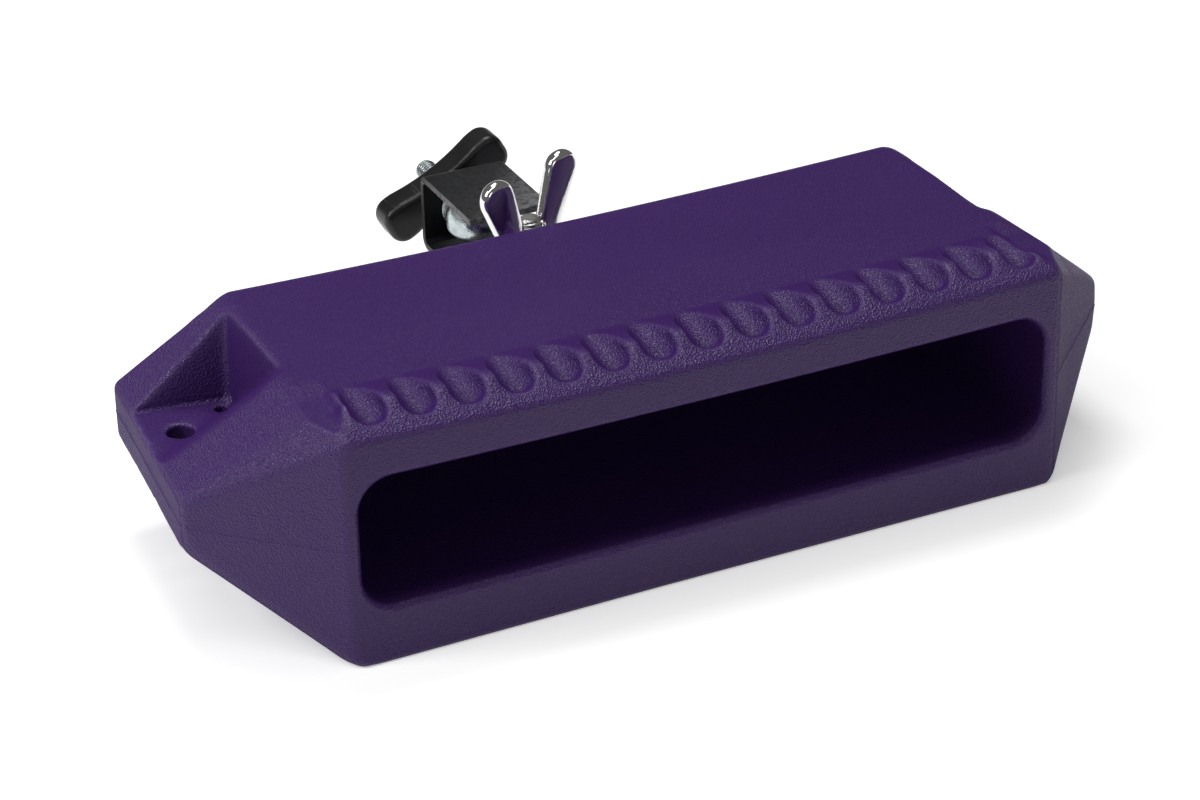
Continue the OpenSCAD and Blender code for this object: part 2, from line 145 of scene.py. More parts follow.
# marks of use: broad smudges and a few fine straight scratches
marksSettings = {
    "inputs": {"Smudge Scale": 40.0, "Scratch Scale": 90.0, "Scratch Share": 0.5},
    "smudgeNoise": (4.0, 0.6, 0.4),  # detail, roughness, distortion
    "smudge": (0.35, 0.7),
    "turn": (0.4, 0.3, 0.7),  # radians, the way the scratches run
    "stretch": (1.0, 0.04, 1.0),
    "fineness": 20.0,
    "scratchNoise": (1.0, 0.4),
    "scratch": (0.68, 0.74),
}


def makeUseMarks(s):
    group, gin, gout = newGroup("useMarks", s["inputs"], ["Smudge", "Scratch"])
    place = group.nodes.new("ShaderNodeTexCoord").outputs["Object"]
    cloud = noiseNode(group, place, gin.outputs["Smudge Scale"], *s["smudgeNoise"])
    group.links.new(spread(group, cloud, *s["smudge"]), gout.inputs["Smudge"])
    stretched = group.nodes.new("ShaderNodeMapping")
    stretched.inputs["Rotation"].default_value = s["turn"]
    stretched.inputs["Scale"].default_value = s["stretch"]
    group.links.new(place, stretched.inputs["Vector"])
    fine = times(group, gin.outputs["Scratch Scale"], s["fineness"])
    lines = noiseNode(group, stretched.outputs["Vector"], fine, *s["scratchNoise"])
    thin = spread(group, lines, *s["scratch"])
    group.links.new(times(group, thin, gin.outputs["Scratch Share"]), gout.inputs["Scratch"])
    return group


# light wear on outer edges, broken up by noise, which on the plastics is a painted highlight instead
edgeWearAndHighlightSettings = {
    "inputs": {"Start": 0.52, "End": 0.6, "Break Scale": 300.0, "Amount": 1.0},
    "breakNoise": (3.0, 0.6),
    "breaks": (0.3, 0.6, 0.25, 1.0),  # the noise's span, and the share of wear it leaves
}


def makeEdgeWear(s):
    group, gin, gout = newGroup("edgeWear", s["inputs"], ["Wear"])
    point = group.nodes.new("ShaderNodeNewGeometry").outputs["Pointiness"]
    place = group.nodes.new("ShaderNodeTexCoord").outputs["Object"]
    edge = group.nodes.new("ShaderNodeMapRange")
    group.links.new(point, edge.inputs["Value"])
    group.links.new(gin.outputs["Start"], edge.inputs["From Min"])
    group.links.new(gin.outputs["End"], edge.inputs["From Max"])
    noise = noiseNode(group, place, gin.outputs["Break Scale"], *s["breakNoise"])
    broken = times(group, edge.outputs["Result"], spread(group, noise, *s["breaks"]))
    wearAndHighlight = mathNode(group, "MULTIPLY", broken, gin.outputs["Amount"], clamp=True)
    group.links.new(wearAndHighlight, gout.inputs["Wear"])
    return group


surfaceGrain = makeGrain(grainSettings)
useMarks = makeUseMarks(marksSettings)
edgeWear = makeEdgeWear(edgeWearAndHighlightSettings)


def placeGroup(tree, group, values):
    node = tree.nodes.new("ShaderNodeGroup")
    node.node_tree = group
    for label, value in values.items():
        node.inputs[label].default_value = value
    return node


def mixColour(tree, factor, first, second):
    node = tree.nodes.new("ShaderNodeMix")
    node.data_type = "RGBA"
    feed(tree, node.inputs["Factor"], factor)
    feed(tree, node.inputs["A"], first)
    feed(tree, node.inputs["B"], second)
    return node.outputs["Result"]


def bumpNode(tree, height, strength, distance):
    node = tree.nodes.new("ShaderNodeBump")
    node.inputs["Strength"].default_value = strength
    node.inputs["Distance"].default_value = distance
    feed(tree, node.inputs["Height"], height)
    return node.outputs["Normal"]


def startMaterial(name, metal, specular):
    mat = bpy.data.materials.new(name)
    mat.use_nodes = True
    bsdf = mat.node_tree.nodes["Principled BSDF"]
    bsdf.inputs["Metallic"].default_value = metal
    bsdf.inputs["Specular IOR Level"].default_value = specular
    return mat, mat.node_tree, bsdf


def rgba(colour):
    return (*colour, 1.0)


def placeGroups(tree, s):
    # grain, marks and wear with one material's values
    return (
        placeGroup(tree, surfaceGrain, {
            "Grain Scale": s["grainScale"], "Lump Scale": s["lumpScale"], "Lumpiness": s["lumpiness"]}),
        placeGroup(tree, useMarks, {
            "Smudge Scale": s["smudgeScale"], "Scratch Scale": s["scratchScale"],
            "Scratch Share": s["scratchShare"]}),
        placeGroup(tree, edgeWear, {
            "Start": s["wearAndHighlightStart"], "End": s["wearAndHighlightEnd"], "Break Scale": s["wearAndHighlightScale"],
            "Amount": s["wearAndHighlightAmount"]}))


def finishMaterial(tree, bsdf, s, shade, groups, rougher):
    # smudges, paler edges (wear on metal and paint, a painted highlight on plastic) and scratches over the
    # shade, then roughness and the grain's bumps
    grain, marks, wearAndHighlight = groups
    shade = mixColour(tree, times(tree, marks.outputs["Smudge"], s["smudge"]), shade, rgba(s["smudged"]))
    # paler outer edges: wear on metal and paint, painted edge highlights on the plastics
    shade = mixColour(tree, wearAndHighlight.outputs["Wear"], shade, rgba(s["wornAndHighlit"]))
    shade = mixColour(tree, marks.outputs["Scratch"], shade, rgba(s["wornAndHighlit"]))
    tree.links.new(shade, bsdf.inputs["Base Color"])
    rough = mathNode(tree, "ADD", times(tree, marks.outputs["Smudge"], s["roughSmudge"]), s["rough"])
    rough = mathNode(tree, "ADD", rough, rougher)
    tree.links.new(rough, bsdf.inputs["Roughness"])
    normal = bumpNode(tree, grain.outputs["Height"], s["grainDepth"], s["grainStep"])
    tree.links.new(normal, bsdf.inputs["Normal"])


# how edge on plastic is seen where its gloss starts to fade and where it ends
edgeOnSettings = {"blend": 0.5, "facing": (0.3, 0.68)}


# moulded plastic: grain, slight shade changes, paler edges that are painted highlights
def plasticMaterial(name, s):
    mat, tree, bsdf = startMaterial(name, 0.0, s["specular"])
    # rough plastic loses its gloss where it is seen edge on
    view = tree.nodes.new("ShaderNodeLayerWeight")
    view.inputs["Blend"].default_value = edgeOnSettings["blend"]
    low, high = edgeOnSettings["facing"]
    gloss = spread(tree, view.outputs["Facing"], low, high, s["specular"], s["specular"] * s["edgeOn"])
    tree.links.new(gloss, bsdf.inputs["Specular IOR Level"])
    groups = placeGroups(tree, s)
    speckle = groups[0].outputs["Speckle"]
    shade = mixColour(tree, times(tree, speckle, s["speckle"]), rgba(s["colour"]), rgba(s["dark"]))
    finishMaterial(tree, bsdf, s, shade, groups, times(tree, speckle, s["roughSpeckle"]))
    return mat


# plated or painted metal
def metalMaterial(name, s):
    mat, tree, bsdf = startMaterial(name, s["metal"], s["specular"])
    groups = placeGroups(tree, s)
    rougher = times(tree, groups[1].outputs["Scratch"], s["roughScratch"])
    finishMaterial(tree, bsdf, s, rgba(s["colour"]), groups, rougher)
    return mat


# the block's paler edge colour is a painted highlight on its convex edges: rims, teeth, ridges and slanting
# edges
blockPlastic = plasticMaterial("purplePlastic", {
    "colour": (0.046, 0.017, 0.108), "dark": (0.026, 0.008, 0.068), "smudged": (0.05, 0.02, 0.118),
    "wornAndHighlit": (0.16, 0.1, 0.26), "specular": 0.27, "edgeOn": 0.04, "rough": 0.26, "roughSmudge": 0.05,
    "roughSpeckle": 0.05, "grainScale": 1600.0, "lumpScale": 800.0, "lumpiness": 0.15, "grainDepth": 1.0,
    "grainStep": 0.00034, "speckle": 0.35, "smudgeScale": 16.0, "smudge": 0.25, "scratchScale": 30.0,
    "scratchShare": 0.0, "wearAndHighlightStart": 0.51, "wearAndHighlightEnd": 0.56, "wearAndHighlightScale": 1300.0, "wearAndHighlightAmount": 0.65})
# the handle's paler edge colour is a painted highlight along the bar's edges, and also the colour of its
# scratches
handlePlastic = plasticMaterial("blackPlastic", {
    "colour": (0.008, 0.008, 0.009), "dark": (0.005, 0.005, 0.006), "smudged": (0.014, 0.014, 0.015),
    "wornAndHighlit": (0.09, 0.09, 0.095), "specular": 0.4, "edgeOn": 0.6, "rough": 0.26, "roughSmudge": 0.12,
    "roughSpeckle": 0.05, "grainScale": 2400.0, "lumpScale": 600.0, "lumpiness": 0.3, "grainDepth": 0.35,
    "grainStep": 0.00005, "speckle": 0.5, "smudgeScale": 60.0, "smudge": 0.4, "scratchScale": 60.0,
    "scratchShare": 0.25, "wearAndHighlightStart": 0.53, "wearAndHighlightEnd": 0.64, "wearAndHighlightScale": 500.0, "wearAndHighlightAmount": 0.45})
strapPaint = metalMaterial("blackPaint", {
    "metal": 0.0, "specular": 0.16, "colour": (0.007, 0.0075, 0.0085),
    "smudged": (0.01, 0.0105, 0.0115), "wornAndHighlit": (0.3, 0.3, 0.31), "rough": 0.42, "roughSmudge": 0.1,
    "roughScratch": 0.1, "grainScale": 2600.0, "lumpScale": 700.0, "lumpiness": 0.5, "grainDepth": 0.3,
    "grainStep": 0.00004, "smudgeScale": 70.0, "smudge": 0.4, "scratchScale": 70.0, "scratchShare": 0.06,
    "wearAndHighlightStart": 0.53, "wearAndHighlightEnd": 0.6, "wearAndHighlightScale": 600.0, "wearAndHighlightAmount": 0.5})
brightChrome = metalMaterial("brightChrome", {
    "metal": 1.0, "specular": 0.5, "colour": (0.78, 0.77, 0.76),
    "smudged": (0.62, 0.61, 0.6), "wornAndHighlit": (0.5, 0.49, 0.47), "rough": 0.05, "roughSmudge": 0.07,
    "roughScratch": 0.2, "grainScale": 500.0, "lumpScale": 160.0, "lumpiness": 1.5, "grainDepth": 0.12,
    "grainStep": 0.00012, "smudgeScale": 110.0, "smudge": 0.35, "scratchScale": 100.0, "scratchShare": 0.2,
    "wearAndHighlightStart": 0.6, "wearAndHighlightEnd": 0.8, "wearAndHighlightScale": 500.0, "wearAndHighlightAmount": 0.2})
zincPlate = metalMaterial("zincPlate", {
    "metal": 1.0, "specular": 0.5, "colour": (0.5, 0.56, 0.57),
    "smudged": (0.3, 0.34, 0.35), "wornAndHighlit": (0.75, 0.78, 0.78), "rough": 0.2, "roughSmudge": 0.2,
    "roughScratch": 0.2, "grainScale": 1300.0, "lumpScale": 350.0, "lumpiness": 1.2, "grainDepth": 0.5,
    "grainStep": 0.00008, "smudgeScale": 160.0, "smudge": 0.6, "scratchScale": 90.0, "scratchShare": 0.5,
    "wearAndHighlightStart": 0.52, "wearAndHighlightEnd": 0.62, "wearAndHighlightScale": 500.0, "wearAndHighlightAmount": 0.4})
boltSteel = metalMaterial("boltSteel", {
    "metal": 1.0, "specular": 0.5, "colour": (0.58, 0.58, 0.57),
    "smudged": (0.36, 0.36, 0.35), "wornAndHighlit": (0.72, 0.72, 0.72), "rough": 0.24, "roughSmudge": 0.16,
    "roughScratch": 0.15, "grainScale": 1800.0, "lumpScale": 500.0, "lumpiness": 0.8, "grainDepth": 0.3,
    "grainStep": 0.00005, "smudgeScale": 140.0, "smudge": 0.5, "scratchScale": 110.0, "scratchShare": 0.4,
    "wearAndHighlightStart": 0.52, "wearAndHighlightEnd": 0.62, "wearAndHighlightScale": 600.0, "wearAndHighlightAmount": 0.4})
print("materials made")


# small tools for meshes
smoothFactor = 0.5


def smoothFaces(mesh):
    mesh.polygons.foreach_set("use_smooth", [True] * len(mesh.polygons))


def linkMesh(name, mesh, smooth=True):
    obj = bpy.data.objects.new(name, mesh)
    bpy.context.scene.collection.objects.link(obj)
    if smooth:
        smoothFaces(mesh)
    return obj


def meshFrom(name, bm):
    bmesh.ops.recalc_face_normals(bm, faces=bm.faces)
    mesh = bpy.data.meshes.new(name)
    bm.to_mesh(mesh)
    bm.free()
    return mesh


def applyModifiers(obj):
    graph = bpy.context.evaluated_depsgraph_get()
    mesh = bpy.data.meshes.new_from_object(obj.evaluated_get(graph))
    obj.modifiers.clear()
    obj.data = mesh


def loft(bm, rows, loop=False):
    # join rows of vertices, a row of one being a tip
    pairs = list(zip(rows, rows[1:])) + ([(rows[-1], rows[0])] if loop else [])
    for low, high in pairs:
        for i in range(max(len(low), len(high))):
            seen = []
            for row, step in ((low, i), (low, i + 1), (high, i + 1), (high, i)):
                corner = row[step % len(row)]
                if corner not in seen:
                    seen.append(corner)
            if len(seen) > 2:
                bm.faces.new(seen)


def closeEnds(bm, rows):
    bm.faces.new(rows[0])
    bm.faces.new(rows[-1])


def turnAll(bm, degrees, axis):
    turn = Matrix.Rotation(math.radians(degrees), 3, axis)
    bmesh.ops.rotate(bm, verts=bm.verts, cent=(0, 0, 0), matrix=turn)


def moveAll(bm, y, z=0.0):
    bmesh.ops.translate(bm, verts=bm.verts, vec=(0, y * mm, z * mm))


def addForm(bm, other):
    spare = meshFrom("spare", other)
    bm.from_mesh(spare)
    bpy.data.meshes.remove(spare)


def cutForm(obj, name, bm):
    tool = linkMesh(name, meshFrom(name, bm), smooth=False)
    cut = obj.modifiers.new(name, "BOOLEAN")
    cut.operation = "DIFFERENCE"
    cut.object = tool
    cut.solver = "EXACT"
    applyModifiers(obj)
    bpy.data.objects.remove(tool)


def filleted(points, radii, steps=5):
    # closed outline with each corner rounded
    result = []
    count = len(points)
    for i, (here, radius) in enumerate(zip(points, radii)):
        here = np.array(here, float)
        before = np.array(points[i - 1], float) - here
        after = np.array(points[(i + 1) % count], float) - here
        if radius <= 0:
            result.append(tuple(here))
            continue
        before, after = before / np.linalg.norm(before), after / np.linalg.norm(after)
        half = math.acos(max(-1, min(1, float(before @ after)))) / 2
        reach = radius / math.tan(half)
        middle = here + (before + after) / np.linalg.norm(before + after) * radius / math.sin(half)
        first, last = here + before * reach - middle, here + after * reach - middle
        turn = math.atan2(first[0] * last[1] - first[1] * last[0], float(first @ last))
        for k in range(steps + 1):
            a = turn * k / steps
            result.append((middle[0] + first[0] * math.cos(a) - first[1] * math.sin(a),
                           middle[1] + first[0] * math.sin(a) + first[1] * math.cos(a)))
    return result


def lathe(bm, outline, steps=96, closed=True):
    # outline as (radius, height) in mm, turned about z, closed when it is a ring's section
    rows = []
    for radius, height in outline:
        if radius == 0:
            rows.append([bm.verts.new((0, 0, height * mm))])
        else:
            rows.append([bm.verts.new((radius * mm * math.cos(a), radius * mm * math.sin(a), height * mm))
                         for a in (2 * math.pi * i / steps for i in range(steps))])
    loft(bm, rows, loop=closed)


threadSettings = {
    "radius": 3.97,
    "depth": 0.7,
    "pitch": 1.411,
    "chamfer": 0.9,
    "rowsPerTurn": 12,
    "steps": 48,
    "slope": 1.25,  # with the lead it leaves a tenth flat at crest and root
    "lead": 0.125,
}


def threadRod(bm, s, start, end):
    # a screw thread from start to end along z, closed at both ends
    rowCount = int((end - start) / s["pitch"] * s["rowsPerTurn"])
    rows = []
    for r in range(rowCount + 1):
        z = start + (end - start) * r / rowCount
        row = []
        for i in range(s["steps"]):
            phase = (z / s["pitch"] - i / s["steps"]) % 1.0
            dip = max(0.0, abs(2 * phase - 1) * s["slope"] - s["lead"])
            radius = s["radius"] - s["depth"] * min(1.0, dip)
            radius = min(radius, s["radius"] - s["chamfer"] + (end - z))
            a = 2 * math.pi * i / s["steps"]
            row.append(bm.verts.new((radius * mm * math.cos(a), radius * mm * math.sin(a), z * mm)))
        rows.append(row)
    loft(bm, rows)
    closeEnds(bm, rows)


def voxelJoin(obj, size, rounds):
    remesh = obj.modifiers.new("join", "REMESH")
    remesh.mode = "VOXEL"
    remesh.voxel_size = size
    remesh.use_smooth_shade = True
    smooth = obj.modifiers.new("soften", "SMOOTH")
    smooth.factor = smoothFactor
    smooth.iterations = rounds
    applyModifiers(obj)


def sharpen(obj, degrees):
    # edges sharper than this angle stay crisp
    bm = bmesh.new()
    bm.from_mesh(obj.data)
    for edge in bm.edges:
        if len(edge.link_faces) == 2 and edge.calc_face_angle(0) > math.radians(degrees):
            edge.smooth = False
    bm.to_mesh(obj.data)
    bm.free()


def finishPiece(obj, body, node, material):
    obj.data.materials.clear()
    obj.data.materials.append(material)
    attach(obj, body)
    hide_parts(node)


# the moulded block, in mm; a pair is a limit and the width over which a weight grows from 0 to 1 there
blockSettings = {
    "voxel": 0.00085,  # m
    "softenRounds": 5,
    "crease": 48.0,  # degrees
    "front": -57.0,
    "high": 83.3,
    "partingHeight": 41.65,  # the line where the mould halves met
    "partingRise": 0.16,
    "partingWide": 0.45,
    "partingNear": 4.0,
    "partingCut": (128.5, 55.0),  # cut in beyond this x and y, and raised beyond the next
    "partingRaised": (129.5, 56.5),
    "partingWithin": (1e-7, 1e-6),  # m, how exactly the cut and the line are met
    "partingSlope": 0.5,  # faces that look further up or down than this aren't raised
    "sagEnds": 0.7,  # the top stands a little high at the ends
    "sagMiddle": 1.1,  # and has sunk a little in the middle
    "sagFront": 0.5,  # a little more over the slot
    "sagHalf": 130.0,
    "sagLevel": (58.0, 16.0),
    "sagOut": (140.0, -10.0),
    "sagNearFront": (34.0, -26.0),
    "sagDeep": (62.0, 48.0),  # the sag is least on this line
    "sagLeast": 0.4,
    "crestEnd": 122.0,  # the crest drops away beyond the last scoops, and reaches further in front
    "crestWider": 4.0,
    "crestFront": (18.0, -12.0),
    "crestFade": 3.4,
    "crestLevel": 82.8,
    "crestDrop": 4.5,
    "crestBack": (40.0, -10.0),
    "pocketWall": (130.0, 46.0, 83.3),
    "pocketFoot": (132.6, 41.4, 51.45),
    "pocketBack": (164.0, 46.8, 51.45),
    "pocketOut": (186.0, 95.0),  # x and z where the pocket's cutter ends
    "pocketCorner": 2.6,  # chamfer left standing in the upright inner corner
    "pocketSlip": 0.2,
    "rampFoot": (132.6, 37.0, 51.45),
    "rampTurn": 53.13,  # degrees, the way the ramp faces
    "rampSlope": 41.7,  # degrees from level
    "boltHole": (154.6, 28.1),
    "pinHole": (137.0, 36.8),
    "upperSlant": ((129.0, -56.0, 80.0), (169.5, -17.0, 50.5)),
    "lowerSlant": ((133.0, -53.5, 3.5), (169.5, -17.0, 33.0)),
    # where each softening works: a measure of the place with its pair, and how many rounds
    "ramps": ((("ramp", 7.2, -3.0), ("x", 134.5, 4.0), ("x", 168.5, -3.0), ("up", 50.0, 2.0),
               ("y", -24.0, 6.0), ("y", 38.0, -3.0), ("boltHole", 5.2, 2.0), ("pinHole", 2.8, 2.0)), 130),
    "ridges": ((("wall", 5.2, -2.0), ("up", 54.0, 2.0), ("x", 124.0, 2.0), ("corner", 2.5, 2.0),
                ("y", -14.0, 4.0)), 34),
    "corners": ((("corner", 4.5, -1.5), ("up", 53.5, 2.0)), 8),
    "scoops": ((("z", 78.0, 3.0), ("deep", 1.5, 3.0), ("deep", 30.0, -8.0), ("x", 132.0, -3.0)), 14),
    "crestEnds": ((("x", 125.5, 2.5), ("z", 64.0, 6.0), ("deep", 8.0, 4.0), ("deep", 47.0, -6.0)), 14),
    "upperSlants": ((("upperSlant", 6.0, -2.5), ("x", 127.0, 3.0)), 26),
    "lowerSlants": ((("lowerSlant", 7.0, -2.5), ("x", 127.0, 3.0)), 70),
    "crispReach": (-0.5, 1.9),  # how near a point lies to a pocket's foot line
    "crispAlong": (134.5, 163.0),
    "baseSharp": 3.2,  # reach of the crisp lower front edge
    "basePower": 5,
    "baseOuter": (0.6, 0.4),
    "baseLeast": 0.5,
    "baseHalf": 131.0,
    "baseEnds": (128.0, -6.0),
    "footOut": 1.0,  # the lower front edge bulges a little, and more on the left
    "footOutLeft": 1.2,
    "footHigh": (14.0, -14.0),
    "footDeep": (-40.0, -17.0),
    "footLeft": (-20.0, -100.0),
    "backOut": 1.6,  # how far the flanges' back corners are drawn out
    "backAlong": (130.0, 33.0),
    "backDeep": (49.0, 14.0),
}


def planeThrough(first, second, third):
    normal = np.cross(np.subtract(second, first), np.subtract(third, first))
    normal = normal / np.linalg.norm(normal)
    return normal, float(normal @ np.array(first))


def planesMeet(planes):
    return np.linalg.solve(np.array([p[0] for p in planes]), np.array([p[1] for p in planes]))


def pocketPlanes(s):
    # back wall, side wall, floor and ramp of the pocket at the right end
    wall, foot, back = s["pocketWall"], s["pocketFoot"], s["pocketBack"]
    turn, slope = math.radians(s["rampTurn"]), math.radians(s["rampSlope"])
    flat = math.sin(slope)
    rampNormal = np.array([math.cos(turn) * flat, math.sin(turn) * flat, math.cos(slope)])
    ramp = (rampNormal, float(rampNormal @ np.array(s["rampFoot"])))
    side = planeThrough(wall, foot, (wall[0], -20.0, wall[2]))
    return planeThrough(wall, foot, back), side, (np.array([0, 0, 1.0]), foot[2]), ramp


def cutPocket(obj, s, right, upper):
    # takes the fillets out of a pocket's inner corners
    back, side, base, ramp = pocketPlanes(s)
    outer = (np.array([1.0, 0, 0]), s["pocketOut"][0])
    top = (np.array([0, 0, 1.0]), s["pocketOut"][1])
    corners = [planesMeet(c) for c in ((base, side, ramp), (base, ramp, outer), (base, back, outer),
                                       (top, side, ramp), (top, ramp, outer), (top, back, outer))]
    for level in (base, top):
        edge = planesMeet((level, back, side))
        corners += [edge + (s["pocketCorner"], s["pocketSlip"], 0), edge - (0, s["pocketCorner"], 0)]
    bm = bmesh.new()
    for x, y, z in corners:
        bm.verts.new(((x if right else -x) * mm, y * mm, (z if upper else s["high"] - z) * mm))
    bmesh.ops.convex_hull(bm, input=bm.verts)
    cutForm(obj, "pocketCutter", bm)


def readPoints(obj):
    co = np.empty(len(obj.data.vertices) * 3)
    obj.data.vertices.foreach_get("co", co)
    return co.reshape(-1, 3) / mm


def writePoints(obj, points):
    obj.data.vertices.foreach_set("co", (points * mm).ravel())


def fading(value, limit, wide):
    # 0 at the limit and 1 at limit + wide, which may lie below it
    return np.clip((value - limit) / wide, 0, 1)


def eased(share):
    return share * share * (3 - 2 * share)


def distanceToLine(points, first, last):
    first, last = np.array(first), np.array(last)
    span = last - first
    share = np.clip((points - first) @ span / (span @ span), 0.0, 1.0)
    return np.linalg.norm(points - first - share[:, None] * span, axis=1)


def measures(obj, s):
    # where each point lies, with both ends, and in up both halves, laid over each other
    points = readPoints(obj)
    x, y, z = np.abs(points[:, 0]), points[:, 1], points[:, 2]
    up = np.where(z > s["partingHeight"], z, s["high"] - z)
    spot, place = np.stack([x, y, up], 1), np.stack([x, y, z], 1)
    back, side, _, ramp = (np.abs(spot @ normal - level) for normal, level in pocketPlanes(s))
    found = {"x": x, "y": y, "z": z, "up": up, "deep": y - s["front"], "ramp": ramp,
             "wall": np.minimum(back, side), "corner": np.hypot(back, side)}
    for hole in ("boltHole", "pinHole"):
        found[hole] = np.hypot(x - s[hole][0], y - s[hole][1])
    for slant in ("upperSlant", "lowerSlant"):
        found[slant] = distanceToLine(place, *s[slant])
    return found


def softenZone(obj, s, name, found):
    zone, rounds = s[name]
    weight = np.ones(len(obj.data.vertices))
    for measure, limit, wide in zone:
        weight *= fading(found[measure], limit, wide)
    levels = np.round(weight * 10).astype(int)
    group = obj.vertex_groups.new(name=name)
    for level in range(1, 11):
        chosen = np.nonzero(levels == level)[0].tolist()
        if chosen:
            group.add(chosen, level / 10, "REPLACE")
    smooth = obj.modifiers.new(name, "SMOOTH")
    smooth.factor = smoothFactor
    smooth.iterations = rounds
    smooth.vertex_group = name
    applyModifiers(obj)
    obj.vertex_groups.clear()


def softenPockets(obj, s):
    # the ramps run into the flanges and end faces without a crease, the rims are rounder than the corners
    for name in ("ramps", "ridges", "corners"):
        softenZone(obj, s, name, measures(obj, s))


def softenFront(obj, s):
    # the teeth are well rounded, and beyond the outer scoops the crest runs out into the end faces
    for name in ("scoops", "crestEnds"):
        softenZone(obj, s, name, measures(obj, s))
    # so are the four slanting edges
    found = measures(obj, s)
    for name in ("upperSlants", "lowerSlants"):
        softenZone(obj, s, name, found)


def crispFoot(obj, s):
    # back wall and floor of each pocket meet in a sharp line
    back = pocketPlanes(s)[0]
    middle, base = s["partingHeight"], s["pocketFoot"][2]
    low, high = s["crispReach"]
    start, end = s["crispAlong"]
    points = readPoints(obj)
    side, half = np.sign(points[:, 0]), np.where(points[:, 2] > middle, 1.0, -1.0)
    spot = np.stack([np.abs(points[:, 0]), points[:, 1], middle + half * (points[:, 2] - middle)], 1)
    inward = -1.0 if back[0][1] > 0 else 1.0
    front, over = inward * (spot @ back[0] - back[1]), spot[:, 2] - base
    near = (front > low) & (front < high) & (over > low) & (over < high)
    near &= (spot[:, 0] > start) & (spot[:, 0] < end)
    toWall = near & (front < over)
    toFloor = near & (front >= over)
    spot[toWall] -= inward * front[toWall][:, None] * back[0]
    spot[toFloor, 2] = base
    spot[:, 0] *= side
    spot[:, 2] = middle + half * (spot[:, 2] - middle)
    writePoints(obj, spot)


def trimEdges(obj, s):
    # crisp lower front edge, and the flanges' back corners drawn out
    points = readPoints(obj)
    x = np.abs(points[:, 0])
    reach, power = s["baseSharp"], s["basePower"]
    across, down = 1 - (points[:, 1] - s["front"]) / reach, 1 - points[:, 2] / reach
    near = (across > 0) & (down > 0) & (x < s["baseHalf"])
    a, b = across[near], down[near]
    size = np.maximum(np.power(a ** power + b ** power, 1 / power), s["baseLeast"])
    grow = 1 + fading(np.hypot(a, b), *s["baseOuter"]) * (1 / size - 1)
    grow = 1 + (grow - 1) * fading(x[near], *s["baseEnds"])
    points[near, 1] = s["front"] + reach * (1 - np.minimum(a * grow, 1.0))
    points[near, 2] = reach * (1 - np.minimum(b * grow, 1.0))
    foot = fading(points[:, 2], *s["footHigh"]) * fading(points[:, 1], *s["footDeep"])
    points[:, 1] -= foot * foot * (s["footOut"] + s["footOutLeft"] * fading(points[:, 0], *s["footLeft"]))
    points[:, 1] += s["backOut"] * fading(x, *s["backAlong"]) * fading(points[:, 1], *s["backDeep"])
    writePoints(obj, points)


def sagFront(obj, s):
    # a hollow moulding sinks between its stiff ends
    points = readPoints(obj)
    x, deep, z = np.abs(points[:, 0]), points[:, 1] - s["front"], points[:, 2]
    arch = 1 - np.clip(x / s["sagHalf"], 0, 1) ** 2
    rise = s["sagEnds"] - (s["sagEnds"] + s["sagMiddle"]) * arch
    rise -= s["sagFront"] * arch * fading(deep, *s["sagNearFront"])
    line, wide = s["sagDeep"]
    part = s["sagLeast"] + (1 - s["sagLeast"]) * np.clip(np.abs(deep - line) / wide, 0, 1)
    points[:, 2] += rise * eased(fading(z, *s["sagLevel"])) * fading(x, *s["sagOut"]) * part
    # the crest stops at the outer scoops
    start = s["crestEnd"] + s["crestWider"] * fading(deep, *s["crestFront"])
    fade = eased(fading(x, start, s["crestFade"]))
    points[:, 2] -= np.clip(z - s["crestLevel"], 0, s["crestDrop"]) * fade * fading(deep, *s["crestBack"])
    writePoints(obj, points)


def beyond(place, limits):
    # at an end face or at the back
    return abs(place.x) > limits[0] * mm or place.y > limits[1] * mm


def addParting(obj, s):
    # the fine raised line where the mould halves met
    bm = bmesh.new()
    bm.from_mesh(obj.data)
    height, wide = s["partingHeight"] * mm, s["partingWide"] * mm
    cutWithin, lineWithin = s["partingWithin"]
    for z in (height - wide, height, height + wide):
        near = [f for f in bm.faces if abs(f.calc_center_median().z - height) < s["partingNear"] * mm
                and beyond(f.calc_center_median(), s["partingCut"])]
        geom = list({g for f in near for g in (f, *f.edges, *f.verts)})
        bmesh.ops.bisect_plane(bm, geom=geom, dist=cutWithin, plane_co=(0, 0, z), plane_no=(0, 0, 1))
    bm.normal_update()
    for vert in bm.verts:
        onLine = abs(vert.co.z - height) < lineWithin and abs(vert.normal.z) < s["partingSlope"]
        if onLine and beyond(vert.co, s["partingRaised"]):
            vert.co += vert.normal * s["partingRise"] * mm
    bm.to_mesh(obj.data)
    bm.free()


def makeBlock(s):
    source = nodes["block"]
    obj = linkMesh("mouldedBlock", source.data.copy())
    obj.matrix_world = source.matrix_world.copy()
    for right in (True, False):
        for upper in (True, False):
            cutPocket(obj, s, right, upper)
    voxelJoin(obj, s["voxel"], s["softenRounds"])
    softenPockets(obj, s)
    sagFront(obj, s)
    softenFront(obj, s)
    crispFoot(obj, s)
    trimEdges(obj, s)
    addParting(obj, s)
    smoothFaces(obj.data)
    sharpen(obj, s["crease"])
    finishPiece(obj, "woodblock", "block", blockPlastic)
    print("block:", len(obj.data.polygons), "faces")


makeBlock(blockSettings)

# the bent steel strap, in m and degrees
strapSettings = {"edge": 0.0004, "segments": 3, "weld": 1e-6, "flatWithin": 1.0, "edgeOver": 35.0}


